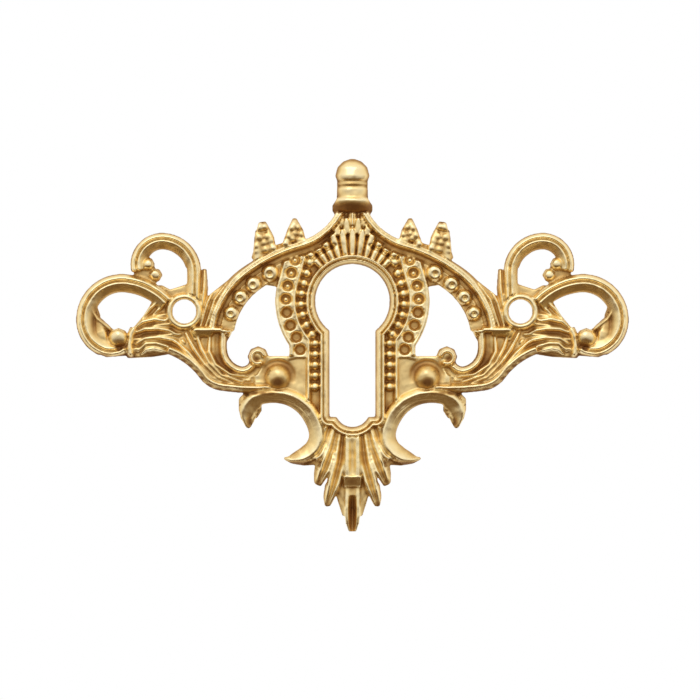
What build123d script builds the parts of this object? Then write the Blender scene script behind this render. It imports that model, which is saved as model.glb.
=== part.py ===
"""Keyhole escutcheon for a cabinet lock: a pierced brass plate of scrolls and leaves, cast in one piece."""
import math
import os

from build123d import *

# Driving sizes in millimetres. The plate is drawn lying face up, with x across it, y up it and z out of
# its flat back. The origin is midway between the two screw holes, on the back.

# Screw holes, in bosses at the roots of the ears
screw_spacing = 46.0
screw_hole_diameter = 3.3
screw_boss_diameter = 4.9
screw_boss_height = 2.2

# Keyhole: a round head over a straight slot with a bowed foot
head_diameter = 10.2
head_rise = 1.4
slot_width = 6.3
slot_drop = 15.8
bow_radius = 2.4
bow_drop = 1.4

# Mouldings round the keyhole, from the hole outwards
rim_width = 1.05
channel_width = 1.55
inner_rib_width = 0.5
band_width = 1.75
outer_rib_width = 0.6
rim_height = 2.8
rim_bevel = 0.35
channel_floor = 1.2
inner_rib_height = 2.4
band_floor = 1.5
outer_rib_height = 2.3
channel_tail = 0.6
platform_rise = 8.3
moulding_lean = 16.0

# Row of beads in the channel and cross-bars in the band
bead_diameter = 1.1
bead_rise = 0.7
bead_pitch = 1.47
bead_row_start = 3.4
bar_width = 1.1
bar_height = 2.2
bar_pitch = 1.64
bar_gap = 0.1
row_tail = 4.2

# Arch over the keyhole, its fan of petals and the turned finial
arch_rise = 12.0
arch_foot = 1.6
fan_petals = 11
fan_spread = 84.0
petal_width = 1.2
petal_height = 2.1
finial_collar_diameter = 5.5
finial_drum_diameter = 4.3
finial_groove_diameter = 3.8
finial_dome_diameter = 4.7
finial_height = 7.9

# Sections of the scrolls and the thickness of the plate between them
web_height = 1.3
ear_width = 2.2
loop_width = 1.9
hook_width = 1.9
crescent_width = 1.9
scroll_height = 2.5
rib_width = 1.2
rib_height = 2.5
reed_width = 0.8
reed_height = 2.2
shoulder_web = 2.95
collar_length = 4.2
collar_width = 1.2
collar_height = 2.5

# Studs: the boss of the platform, the bead of the hook, the bead of the ear and the row on the shoulder
boss_diameter = 3.0
boss_height = 3.4
hook_bead_diameter = 2.7
hook_bead_height = 2.9
ear_bead_diameter = 2.5
ear_bead_height = 2.8
shoulder_beads = 5
shoulder_bead_diameter = 1.7
shoulder_bead_taper = 0.06
shoulder_bead_height = 2.5
shoulder_bead_inset = 1.95

# Plume under the keyhole
stem_width = 2.5
stem_height = 3.0
stem_length = 7.6
stem_slope = 1.4
tongue_length = 6.2

# A height beyond every surface of the plate, for cuts that go right through
beyond = 2 * boss_height

# Where things hang from: the keyhole's head and foot, and the right-hand screw
head = Vector(0, head_rise)
foot = Vector(0, head_rise - slot_drop)
screw = Vector(screw_spacing / 2, 0)

# Unit sections of the carved leaves: half width across, height up
ROUND = [(-1, 0), (-0.81, 0.59), (-0.31, 0.95), (0.31, 0.95), (0.81, 0.59), (1, 0)]
PETAL = [(-1, 0), (-1, 0.4), (0, 1), (1, 0.4), (1, 0)]
TWIN = [(-1, 0), (-1, 0.7), (-0.65, 1), (-0.3, 0.85), (0.3, 0.85), (0.65, 1), (1, 0.7), (1, 0)]
GOUGED = [(-1, 0), (-1, 0.8), (-0.65, 1), (0, 0.65), (0.65, 1), (1, 0.8), (1, 0)]


def heading_step(heading, length=1.0):
    """A step of the given length along a heading in degrees."""
    return Vector(length, 0).rotate(Axis.Z, heading)


def tangent_arcs(start, heading, ends):
    """Arcs through the points, each leaving in the direction in which the one before it arrives."""
    arcs = []
    for end in ends:
        chord = end - start
        aside = math.degrees(math.atan2(chord.Y, chord.X)) - heading
        turn = 2 * ((aside + 180) % 360 - 180)
        radius = chord.length / (2 * math.sin(math.radians(abs(turn) / 2)))
        arcs.append(JernArc(start, heading_step(heading), radius, turn))
        start = end
        heading += turn
    return arcs


def moulding(arcs, outline):
    """A section carried along arcs. Its x points to the left of travel and its y out of the back."""
    section = Polygon(*outline, align=None)
    spans = []
    for arc in arcs:
        forward = arc % 0
        left = Vector(0, 0, 1).cross(forward)
        side = math.copysign(1, left.dot(arc.arc_center - arc @ 0))
        turn = math.degrees(arc.length / arc.radius)
        place = Plane(arc @ 0, x_dir=left, z_dir=forward)
        spans.append(revolve(place * section, Axis(arc.arc_center, (0, 0, side)), turn))
    return spans


def rib(width, height):
    """Section of a plain rib: upright sides under a ridge."""
    half = width / 2
    return [(-half, 0), (-half, height - half), (0, height), (half, height - half), (half, 0)]


def crest(width, height, slope):
    """Section of a crest, upright on one side and sloping to the left (1) or right (-1) of travel."""
    half = width / 2 * slope
    ridge = -half * 0.3
    return [(half, 0), (half, height * 0.8), (ridge, height), (ridge, 0)]


def scroll(width, height, outside):
    """Section of a scroll: a sloping crest along its outer side, stepped down to a ledge inside it."""
    half = width / 2 * outside
    step = half * 0.3
    ledge = height * 0.58
    return [(-half, 0), (-half, ledge), (step, ledge), (step, height), (half, height * 0.82), (half, 0)]


def leaf(origin, stations, section):
    """A tapering carved form. Each station is x, y from the origin, half width and height."""
    faces = []
    last = len(stations) - 1
    for number, (x, y, half_width, height) in enumerate(stations):
        behind = stations[max(number - 1, 0)]
        ahead = stations[min(number + 1, last)]
        forward = Vector(ahead[0] - behind[0], ahead[1] - behind[1]).normalized()
        left = Vector(0, 0, 1).cross(forward)
        outline = Polygon(*[(half_width * across, height * up) for across, up in section], align=None)
        faces.append(Plane(origin + Vector(x, y), x_dir=left, z_dir=forward) * outline)
    return loft(faces, ruled=True)


def faceted(centre, sides, levels):
    """A button cut with facets. Each level is a radius and a height."""
    steps = []
    for (radius, base), (next_radius, top) in zip(levels, levels[1:]):
        outline = Pos(centre.X, centre.Y, base) * RegularPolygon(radius, sides, major_radius=False)
        slope = math.degrees(math.atan2(radius - next_radius, top - base))
        steps.append(extrude(outline, top - base, taper=slope))
    return fused(steps)


def stud(centre, diameter, height):
    """A large round bead standing on the back."""
    radius = diameter / 2
    girdle = height - radius
    return faceted(centre, 8, [
        (radius, 0), (radius, girdle), (radius * 0.75, girdle + radius * 0.65), (radius * 0.3, height)])


def bead(centre, diameter, height):
    """A smaller bead standing on the back, with a crown that starts level with the plate."""
    radius = diameter / 2
    return faceted(centre, 6, [(radius, 0), (radius, web_height), (radius * 0.55, height)])


def cut_bead(centre, diameter, floor, rise):
    """A tiny bead that rises from a sunk floor."""
    radius = diameter / 2
    return faceted(centre, 6, [(radius, floor * 0.75), (radius / 2, floor + rise)])


def web(points, height):
    """A flat web of the plate between its ribs, through the given points."""
    return extrude(Polygon(*points, align=None), height, dir=(0, 0, 1))


def keyhole(grow, pointed=False):
    """Outline of the keyhole, grown outwards. A pointed one has sides that lean together above its head."""
    radius = head_diameter / 2 + grow
    half = slot_width / 2 + grow
    bow = bow_radius + grow
    bow_centre = foot.Y - bow_drop + bow_radius
    shoulder = foot.Y - grow
    neck = head.Y - math.sqrt(radius**2 - half**2)
    bow_half = math.sqrt(bow**2 - (shoulder - bow_centre) ** 2)
    if pointed:
        spring = head + heading_step(moulding_lean, radius)
        apex = head + Vector(0, radius / math.sin(math.radians(moulding_lean)))
        side = ThreePointArc((half, neck), head + Vector(radius, 0), spring)
        right_slope = Line(spring, apex)
        crown = [side, right_slope, mirror(side, about=Plane.YZ), mirror(right_slope, about=Plane.YZ)]
    else:
        crown = [ThreePointArc((-half, neck), (0, head.Y + radius), (half, neck))]
    right = Polyline((half, neck), (half, shoulder), (bow_half, shoulder))
    base = ThreePointArc((bow_half, shoulder), (0, bow_centre - bow), (-bow_half, shoulder))
    left = Polyline((-bow_half, shoulder), (-half, shoulder), (-half, neck))
    return make_face([edge for line in crown + [right, base, left] for edge in line.edges()])


def raised(grow, height, pointed=False):
    """A solid of the keyhole's outline."""
    return extrude(keyhole(grow, pointed), height)


def sunk(grow, floor, pointed=False):
    """What is cut to sink the keyhole's outline to a floor."""
    return Pos(0, 0, floor) * extrude(keyhole(grow, pointed), beyond - floor)


def side_row(grow, low, pitch):
    """Places and headings up the right-hand side of a pointed outline, to a tail above the head."""
    radius = head_diameter / 2 + grow
    half = slot_width / 2 + grow
    neck = head.Y - math.sqrt(radius**2 - half**2)
    spring = head + heading_step(moulding_lean, radius)
    slot = Line((half, low), (half, neck))
    side = ThreePointArc((half, neck), head + Vector(radius, 0), spring)
    tail = Line(spring, spring + heading_step(90 + moulding_lean, row_tail))
    track = Wire([slot, side, tail])
    count = round(track.length / pitch)
    shares = [(number + 0.5) / count for number in range(count)]
    return [(track @ share, track % share) for share in shares]


def arch_path():
    """Crest of the arch: from the finial's foot, over the shoulder, down to the collar beside the screw."""
    ends = [head + Vector(7.1, 7.6), screw + Vector(-8.2, 5.1), screw + Vector(-3.9, -2.2)]
    return tangent_arcs(head + Vector(arch_foot, arch_rise), -62, ends)


def under_arch():
    """Block of everything that lies below the crest of the arch."""
    right = arch_path()
    left = [mirror(arc, about=Plane.YZ) for arc in right]
    end = right[-1] @ 1
    deep = foot.Y - slot_drop
    skirt = Polyline(end, (end.X, deep), (-end.X, deep), (-end.X, end.Y))
    top = Line(left[0] @ 0, right[0] @ 0)
    outline = make_face([edge for line in right + left + [skirt, top] for edge in line.edges()])
    return extrude(outline, beyond)


def crescent_path():
    """Middle line of the C-shaped scroll, from its claw over the top and down to its horn."""
    ends = [foot + Vector(10.1, 3), foot + Vector(4.65, -1.9), foot + Vector(5.4, -4.6)]
    return tangent_arcs(foot + Vector(13, 2.4), 150, ends)


def keyhole_frame():
    """Rim, beaded channel and barred band that follow the keyhole's outline up to the arch."""
    channel = rim_width + channel_width
    ridge = channel + inner_rib_width
    band = ridge + band_width
    edge = band + outer_rib_width
    wide = 8 * edge + slot_width
    above_band_end = Pos(0, foot.Y + platform_rise + wide / 2) * Box(wide, wide, wide)
    above_channel_end = Pos(0, foot.Y - channel_tail + wide / 2) * Box(wide, wide, wide)
    bend = crescent_path()[1]
    crescent_gap = Pos(bend.arc_center) * Cylinder(bend.radius, beyond)
    outer = raised(edge, outer_rib_height, True) - sunk(band, band_floor, True)
    inner = raised(ridge, inner_rib_height, True) & above_channel_end
    frame = (outer & above_band_end) + inner - sunk(channel, channel_floor, True)
    frame = (frame & under_arch()) - crescent_gap - mirror(crescent_gap, about=Plane.YZ)
    return frame + raised(rim_width, rim_height)


def keyhole_cut():
    """What is cut for the keyhole, with a bevel round its front edge."""
    low = Pos(0, 0, rim_height - rim_bevel) * keyhole(0)
    high = Pos(0, 0, rim_height) * keyhole(rim_bevel)
    return sunk(0, -beyond) + loft([low, high], ruled=True)


def frame_beads():
    """Right-hand row of beads in the channel and cross-bars in the band."""
    channel_middle = rim_width + channel_width / 2
    band_middle = rim_width + channel_width + inner_rib_width + band_width / 2
    solids = []
    for place, _ in side_row(channel_middle, foot.Y + bead_row_start, bead_pitch):
        solids.append(cut_bead(place, bead_diameter, channel_floor, bead_rise))
    for place, forward in side_row(band_middle, foot.Y + platform_rise, bar_pitch):
        reach = forward.cross(Vector(0, 0, 1)) * (band_width / 2 - bar_gap)
        ends = [(-reach.X, -reach.Y), (reach.X, reach.Y)]
        solids.append(leaf(place, [(x, y, bar_width / 2, bar_height) for x, y in ends], PETAL))
    return solids


def fan():
    """Petals that spread from the rim of the keyhole to the arch."""
    root = head_diameter / 2 + rim_width / 2
    petals = []
    for number in range(fan_petals):
        angle = fan_spread * (number / (fan_petals - 1) - 0.5)
        stations = [
            (0, root, petal_width * 0.35, petal_height * 0.9),
            (0, arch_rise, petal_width / 2, petal_height),
        ]
        petals.append(Pos(head) * Rot(0, 0, angle) * leaf(Vector(), stations, PETAL))
    return [petals[0].fuse(*petals[1:]) & under_arch()]


def finial():
    """Half-turned finial: flared collar, drum, groove and dome."""
    base = arch_rise - 0.4
    collar = finial_collar_diameter / 2
    drum = finial_drum_diameter / 2
    groove = finial_groove_diameter / 2
    dome = finial_dome_diameter / 2
    neck = finial_height - dome
    dome_centre = base + neck
    rings = [
        (base, collar - 0.5), (base + neck * 0.14, collar), (base + neck * 0.27, collar),
        (base + neck * 0.43, drum), (base + neck * 0.65, drum), (base + neck * 0.69, groove),
        (base + neck * 0.79, groove), (dome_centre, dome),
        (dome_centre + dome * 0.5, dome * 0.87), (dome_centre + dome * 0.85, dome * 0.53),
        (dome_centre + dome, dome * 0.1),
    ]
    return leaf(head, [(0, rise, radius, radius) for rise, radius in rings], ROUND)


def shoulder():
    """Arch and shoulder: a crest over a groove, and a web with a row of beads along its inner edge."""
    path = arch_path()
    solids = moulding(path, crest(rib_width, rib_height, 1))
    past_band = [path[1].trim(0.15, 1), path[2]]
    solids += moulding(past_band, [(0, 0), (0, band_floor), (-shoulder_web, band_floor), (-shoulder_web, 0)])
    track = Wire([arc.edge() for arc in path])
    first = 13.4
    last = track.length - 2.5
    for number in range(shoulder_beads):
        share = (first + (last - first) * number / (shoulder_beads - 1)) / track.length
        right = (track % share).cross(Vector(0, 0, 1))
        centre = track @ share + right * shoulder_bead_inset
        diameter = shoulder_bead_diameter - shoulder_bead_taper * number
        solids.append(bead(centre, diameter, shoulder_bead_height))
    inner = track @ (8.1 / track.length)
    solids.append(leaf(inner, [(0, -0.3, 1.9, 2.2), (-0.1, 2.4, 1.1, 2.2), (0, 4, 0.25, 1.5)], GOUGED))
    outer = track @ (12.6 / track.length)
    solids.append(leaf(outer, [(-0.2, 0, 1.7, 2.2), (0, 3.2, 1.3, 2.2), (0.3, 5.3, 0.5, 1.5)], GOUGED))
    end = path[-1] @ 1
    place = Plane(end - Vector(collar_length / 2, collar_width / 2), x_dir=(0, 1, 0), z_dir=(1, 0, 0))
    bar = place * Polygon(*rib(collar_width, collar_height), align=None)
    solids.append(extrude(bar, collar_length, dir=(1, 0, 0)))
    return solids


def hook():
    """J-shaped scroll from the collar to its bead, with the platform and boss that it curls towards."""
    ends = [screw + Vector(-4.9, -5.3), foot + Vector(15.6, 6), foot + Vector(13.2, 7.2)]
    arcs = tangent_arcs(screw + Vector(-4.95, -2.4), -84, ends)
    solids = moulding(arcs, crest(hook_width, scroll_height, -1))
    solids.append(stud(foot + Vector(12.9, 8.2), hook_bead_diameter, hook_bead_height))
    solids.append(stud(foot + Vector(10.2, 5.4), boss_diameter, boss_height))
    frame_side = slot_width / 2 + rim_width + channel_width + inner_rib_width
    solids.append(web([
        foot + Vector(frame_side - 0.4, platform_rise), foot + Vector(12.6, platform_rise),
        foot + Vector(13.4, 7), foot + Vector(13.4, 3.6), foot + Vector(frame_side, 1.2),
        foot + Vector(frame_side - 0.4, 1.2),
    ], web_height + 0.4))
    return solids


def arm():
    """S-shaped rib from the platform to the ear, with the reeded sheath above it."""
    ends = [foot + Vector(20.4, 5.65), foot + Vector(17.9, 4.15), foot + Vector(12.2, 3.8)]
    path = tangent_arcs(screw + Vector(2.2, -5.2), 199, ends)
    solids = moulding(path, crest(rib_width, rib_height, 1))
    reeds = [
        [(-3.2, -2.9), (-3.2, -5.8), (17.6, 6), (14, 5)],
        [(-0.6, -2.4), (-3, -6.4), (18, 5.6), (15, 4.6)],
        [(0.4, -3.8), (-3.1, -7.9), (17.2, 4.6), (16, 4.4)],
    ]
    for upper, bend, lower, tip in reeds:
        places = [screw + Vector(*upper), screw + Vector(*bend), foot + Vector(*lower), foot + Vector(*tip)]
        half_widths = [reed_width * 0.3, reed_width / 2, reed_width / 2, reed_width * 0.3]
        stations = [(place.X, place.Y, half, reed_height) for place, half in zip(places, half_widths)]
        solids.append(leaf(Vector(), stations, PETAL))
    solids.append(web([
        screw + Vector(-4.5, -2.8), screw + Vector(0, -1.6), screw + Vector(2.6, -4.9),
        foot + Vector(20.4, 5.5), foot + Vector(17.9, 4.1), foot + Vector(12.5, 3.8),
        foot + Vector(13.2, 6.8), foot + Vector(15.6, 6), screw + Vector(-5, -6),
    ], web_height))
    return solids


def ear():
    """Two loops that spring from the screw's boss, and the leaf from the boss to the larger loop's bead."""
    small = tangent_arcs(screw + Vector(-1.2, 1), 94, [
        screw + Vector(-1.35, 5.4), screw + Vector(2.9, 9.8), screw + Vector(6.3, 5.6)])
    large = tangent_arcs(screw + Vector(2.4, 1.2), 47, [
        screw + Vector(8, 4), screw + Vector(13.7, -1.2), screw + Vector(11.2, -5)])
    solids = moulding(small, scroll(loop_width, scroll_height, 1))
    solids += moulding(large, scroll(ear_width, scroll_height, 1))
    solids.append(stud(screw + Vector(9, -3.6), ear_bead_diameter, ear_bead_height))
    solids.append(bead(screw + Vector(4.95, 6.5), 1.6, 2.3))
    solids.append(bead(screw + Vector(3.95, 5), 1.7, 2))
    fin = [(-2.3, 0.6, 0.65, 1.7), (-2.7, 3.2, 0.55, 1.7), (-2.75, 5.8, 0.3, 1.4)]
    solids.append(leaf(screw, fin, PETAL))
    lobes = [
        [(1.2, -0.2, 0.5, 1.8), (3.6, -0.6, 0.7, 2), (6.2, -1.9, 0.4, 1.7)],
        [(0.6, -1.6, 0.5, 1.9), (3.8, -1.9, 0.8, 2.2), (7, -2.9, 0.5, 1.8)],
        [(0.4, -3.1, 0.4, 1.9), (3.4, -3.3, 0.8, 2.3), (7, -3.9, 0.6, 1.9)],
        [(1.6, -4.9, 0.4, 1.9), (4, -4.7, 0.8, 2.2), (7, -5.2, 0.6, 1.9)],
    ]
    for stations in lobes:
        solids.append(leaf(screw, stations, PETAL))
    solids.append(web([
        screw + Vector(0, 1.5), screw + Vector(4.3, 1.5), screw + Vector(5.6, -0.6),
        screw + Vector(7.3, -2.6), screw + Vector(7.3, -5.9), screw + Vector(1.8, -5.4),
        screw + Vector(-1, -3),
    ], web_height))
    solids.append(web([
        screw + Vector(3.3, 4.4), screw + Vector(4.6, 7.2), screw + Vector(6.6, 7.2), screw + Vector(6.9, 5),
        screw + Vector(5, 3),
    ], web_height))
    collar = tangent_arcs(screw + Vector(6.9, -2.3), -60, [screw + Vector(7.3, -5.9)])
    solids += moulding(collar, rib(1, 2.4))
    solids.append(web([
        screw + Vector(9, -2.9), screw + Vector(10.7, -1.8), screw + Vector(12.2, -0.4),
        screw + Vector(13.5, -1.6), screw + Vector(13, -3.8), screw + Vector(10.6, -5.2),
        screw + Vector(9, -4.4),
    ], web_height - 0.3))
    curl = [(11.6, -4.7, 1.1, 2.3), (10.4, -5.2, 1.1, 2.3), (9, -5.2, 0.9, 2.1), (8.2, -4.4, 0.5, 1.6)]
    solids.append(leaf(screw, curl, GOUGED))
    lip = [(12.7, 0.4, 0.3, 1.7), (11.9, -1, 0.4, 1.9), (10.2, -2.4, 0.3, 1.7)]
    solids.append(leaf(screw, lip, PETAL))
    solids.append(web([
        screw + Vector(-4.4, -2.6), screw + Vector(-4.6, 0.4), screw + Vector(-3.3, 2.2),
        screw + Vector(-2, 1.4), screw, screw + Vector(0, -2),
    ], web_height))
    return solids


def screw_boss():
    """Raised ring round the screw."""
    radius = screw_boss_diameter / 2
    return faceted(screw, 20, [(radius, 0), (radius, screw_boss_height)])


def screw_hole():
    """Plain clearance hole for the screw."""
    return Pos(screw) * Cylinder(screw_hole_diameter / 2, beyond)


def crescent():
    """C-shaped scroll below the platform: a band with a claw at one end and a horn at the other."""
    solids = moulding(crescent_path(), scroll(crescent_width, scroll_height, -1))
    solids.append(leaf(foot, [
        (4.7, -3, 0.9, 2.3), (5.2, -4.6, 1.15, 2.3), (6.3, -5.45, 0.9, 2.1), (7.6, -5.65, 0.55, 1.8),
        (9, -5.6, 0.12, 1.2)], PETAL))
    solids.append(leaf(foot, [
        (12, 3.1, 0.8, 2.2), (13.8, 2.6, 0.95, 2.3), (14.6, 1.2, 0.95, 2.1), (14.6, -0.2, 0.6, 1.8),
        (14.3, -1.5, 0.2, 1.3)], PETAL))
    solids.append(leaf(foot, [(12.9, 2, 0.4, 1.5), (12.7, 0.9, 0.3, 1.3), (13.2, -0.2, 0.12, 1)], PETAL))
    return solids


def plume_side():
    """Right-hand leaves of the plume and the web that they spring from."""
    lobes = [
        [(2.8, -1.9, 0.6, 2), (4.6, -4.8, 0.7, 2), (6.8, -6.2, 0.3, 1.4)],
        [(1.9, -2.3, 0.75, 2.3), (3.8, -7.1, 0.95, 2.3), (4.7, -9.4, 0.4, 1.4)],
        [(1.5, -4.4, 0.75, 2.3), (2.7, -9.6, 0.95, 2.1), (3.4, -12.2, 0.35, 1.3)],
    ]
    solids = [leaf(foot, stations, GOUGED) for stations in lobes]
    solids.append(web([
        foot + Vector(-0.2, -1.6), foot + Vector(4.4, -0.6), foot + Vector(4.9, -4.4),
        foot + Vector(4.9, -6.2), foot + Vector(3.4, -7.4), foot + Vector(2.4, -9.6),
        foot + Vector(1.4, -11.2), foot + Vector(-0.2, -11.2),
    ], web_height))
    return solids


def plume_centre():
    """Twin-ridged stem with a sloping end, over a hollow tongue."""
    half = stem_width / 2
    root = foot - Vector(0, bow_drop + rim_width / 2)
    end = root - Vector(0, stem_length)
    stem = leaf(root, [
        (0, 0, half, stem_height), (0, stem_slope - stem_length, half, stem_height),
        (0, -stem_length, half * 0.9, stem_height * 0.5)], TWIN)
    tongue = leaf(end, [
        (0, stem_slope, half * 0.9, 1.8), (0, -tongue_length * 0.45, half * 0.92, 1.9),
        (0, -tongue_length * 0.8, half * 0.75, 1.6), (0, -tongue_length, half * 0.4, 1.2)], GOUGED)
    return [stem, tongue]


def fused(solids):
    """One solid of many that overlap."""
    return solids[0].fuse(*solids[1:])


def escutcheon():
    """The whole casting, stood upright with its face to the front."""
    scrolls = shoulder() + hook() + arm() + ear() + crescent()
    side = fused(frame_beads() + scrolls + plume_side() + [screw_boss()]) - screw_hole()
    middle = [keyhole_frame(), finial()] + fan() + plume_centre()
    casting = fused(middle + [side, mirror(side, about=Plane.YZ)])
    return Rot(90, 0, 0) * (casting - keyhole_cut())


os.makedirs("parts", exist_ok=True)
casting = escutcheon()
export_step(casting, "parts/escutcheon.step")
print("solids", len(casting.solids()), "valid", casting.is_valid, "volume", round(casting.volume, 1))
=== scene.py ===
"""Keyhole escutcheon: one ornate brass casting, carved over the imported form, in a plain studio."""
import math

import bpy
import numpy as np
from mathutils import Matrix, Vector
from mathutils.bvhtree import BVHTree
from mathutils.geometry import delaunay_2d_cdt


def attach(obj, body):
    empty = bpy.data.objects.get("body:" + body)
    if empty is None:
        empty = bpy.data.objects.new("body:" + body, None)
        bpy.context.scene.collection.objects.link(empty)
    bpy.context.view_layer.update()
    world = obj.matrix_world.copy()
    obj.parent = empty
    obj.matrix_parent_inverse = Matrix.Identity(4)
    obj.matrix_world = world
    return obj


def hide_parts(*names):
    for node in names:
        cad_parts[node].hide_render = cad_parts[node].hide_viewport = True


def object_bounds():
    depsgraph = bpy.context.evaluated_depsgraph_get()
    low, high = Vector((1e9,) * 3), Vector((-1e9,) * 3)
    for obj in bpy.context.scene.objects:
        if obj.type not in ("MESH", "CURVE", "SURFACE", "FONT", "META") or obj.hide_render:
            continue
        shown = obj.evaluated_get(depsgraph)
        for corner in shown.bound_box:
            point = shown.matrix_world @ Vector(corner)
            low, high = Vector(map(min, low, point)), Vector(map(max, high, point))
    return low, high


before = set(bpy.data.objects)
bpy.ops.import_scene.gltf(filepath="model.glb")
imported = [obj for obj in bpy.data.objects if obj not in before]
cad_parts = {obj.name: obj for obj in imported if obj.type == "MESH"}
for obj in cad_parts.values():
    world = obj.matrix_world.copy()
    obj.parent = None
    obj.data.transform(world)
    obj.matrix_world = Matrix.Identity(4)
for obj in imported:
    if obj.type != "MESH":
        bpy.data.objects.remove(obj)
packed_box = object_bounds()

# The casting is one pierced plate of brass, poured in sand from a carved pattern. Its outline and levels are
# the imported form's, felt out ray by ray; its right half is then carved, stroke by stroke, and mirrored. Sizes
# are in millimetres: x runs across the plate, z up it, and heights stand out of its flat back.
MM = 0.001
STEP = 0.125
GRID_RIGHT = 38.6
GRID_LOW = -30.8
GRID_HIGH = 21.6
HIGHEST = -packed_box[0][1] / MM
IN_FRONT = -3 * HIGHEST * MM
RAY_SHIFTS = [(-0.25, -0.25), (0.25, -0.25), (-0.25, 0.25), (0.25, 0.25)]
columns = np.arange(0, GRID_RIGHT, STEP)
rows = np.arange(GRID_LOW, GRID_HIGH, STEP)
grid_x, grid_z = np.meshgrid(columns, rows)


def felt_relief():
    """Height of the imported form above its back, and how much of it covers each place, over a few rays."""
    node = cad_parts["escutcheon"]
    corners = [node.matrix_world @ vertex.co for vertex in node.data.vertices]
    tree = BVHTree.FromPolygons(corners, [tuple(face.vertices) for face in node.data.polygons])
    into_plate = Vector((0, 1, 0))
    height = np.zeros(grid_x.shape)
    cover = np.zeros(grid_x.shape)
    for shift_x, shift_z in RAY_SHIFTS:
        for row, z in enumerate(rows):
            for column, x in enumerate(columns):
                start = Vector(((x + shift_x * STEP) * MM, IN_FRONT, (z + shift_z * STEP) * MM))
                place = tree.ray_cast(start, into_plate)[0]
                if place:
                    height[row, column] += -place.y / MM / len(RAY_SHIFTS)
                    cover[row, column] += 1 / len(RAY_SHIFTS)
    return height, cover


def softened(field, spread):
    """A field blurred over a spread in millimetres; the plate's middle line is a mirror."""
    reach = math.ceil(3 * spread / STEP)
    bell = np.exp(-0.5 * (np.arange(-reach, reach + 1) * STEP / spread) ** 2)
    bell /= bell.sum()
    for axis in (0, 1):
        pads = [(reach, reach) if axis == side else (0, 0) for side in (0, 1)]
        padded = np.pad(field, pads, mode="reflect")
        field = np.apply_along_axis(np.convolve, axis, padded, bell, "valid")
    return field


OUTLINE_SPREAD = 0.11
LEAST_COVER = 0.02
felt_height, cover = felt_relief()
outline = softened(cover, OUTLINE_SPREAD)
relief = softened(felt_height, OUTLINE_SPREAD) / np.maximum(outline, LEAST_COVER)

# Fan between the keyhole's rim and the arch: brass petals cast in one with the plate, a long row and two rows
# of tips in the gaps above it. The carver cut a fine ring across the petals at the sides.
HEAD_Z = 1.4
PETAL_TURN = 8.4
PETAL_ACROSS = [0, 0.5, 0.75, 0.9, 1]
PETAL_HEIGHTS = [2.3, 2.2, 1.95, 1.5, 1.0]
FAN_START = 6
FAN_END = 12.4
FAN_EDGE = 46.0
FAN_CUT_RADIUS = 7.9
FAN_CUT_SPREAD = 0.25
FAN_CUT_DEPTH = 0.5
FAN_CUT_TURNS = [14, 20]
NARROWEST_TIP = 0.01
from_head = np.hypot(grid_x, grid_z - HEAD_Z)
turn = np.degrees(np.arctan2(grid_x, grid_z - HEAD_Z))


def petal_row(shift, end, taper):
    """Height of a row of petals whose rounded tips end at a distance from the head's middle."""
    across = 2 * np.abs((turn / PETAL_TURN + shift + 0.5) % 1 - 0.5)
    into_tip = np.clip((from_head - end + taper) / taper, 0, 1)
    rounding = np.maximum(np.sqrt(1 - into_tip**2), NARROWEST_TIP)
    return np.interp(across / rounding, PETAL_ACROSS, PETAL_HEIGHTS)


tip_rows = [(0.5, 9.2, 11.5, 0.3), (0, 10.4, 12.6, 0.55)]
petals = petal_row(shift=0, end=10.0, taper=1.8)
for shift, start, end, sunk in tip_rows:
    tips = petal_row(shift, end, taper=1.7) - sunk
    petals = np.where(from_head > start, np.maximum(petals, tips), petals)
fan_cut = np.exp(-(((from_head - FAN_CUT_RADIUS) / FAN_CUT_SPREAD) ** 2))
petals -= FAN_CUT_DEPTH * fan_cut * np.interp(turn, FAN_CUT_TURNS, [0, 1])
in_fan = (from_head > FAN_START) & (from_head < FAN_END) & (turn < FAN_EDGE)
relief = np.where(in_fan, petals, relief)

# Channel and band on both sides of the keyhole, cast with the plate: beads stand in the channel, and the band
# is a flat frame with round dished cells, the upper ones with a bead in each. Both follow the keyhole's edge.
HEAD_RADIUS = 5.1
SLOT_HALF = 3.15
LEAN = math.radians(16)
LEAN_RUN = 4.2


def side_row(grow, low, pitch):
    """Places at even steps up the right-hand side of the keyhole's outline, grown outwards."""
    radius = HEAD_RADIUS + grow
    half = SLOT_HALF + grow
    drop = math.sqrt(radius**2 - half**2)
    upright = HEAD_Z - drop - low
    bend_start = math.atan2(-drop, half)
    bend = radius * (LEAN - bend_start)
    total = upright + bend + LEAN_RUN
    count = round(total / pitch)
    for number in range(count):
        run = total * (number + 0.5) / count
        if run < upright:
            yield half, low + run
        elif run < upright + bend:
            angle = bend_start + (run - upright) / radius
            yield radius * math.cos(angle), HEAD_Z + radius * math.sin(angle)
        else:
            past = run - upright - bend
            x = radius * math.cos(LEAN) - past * math.sin(LEAN)
            yield x, HEAD_Z + radius * math.sin(LEAN) + past * math.cos(LEAN)


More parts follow.
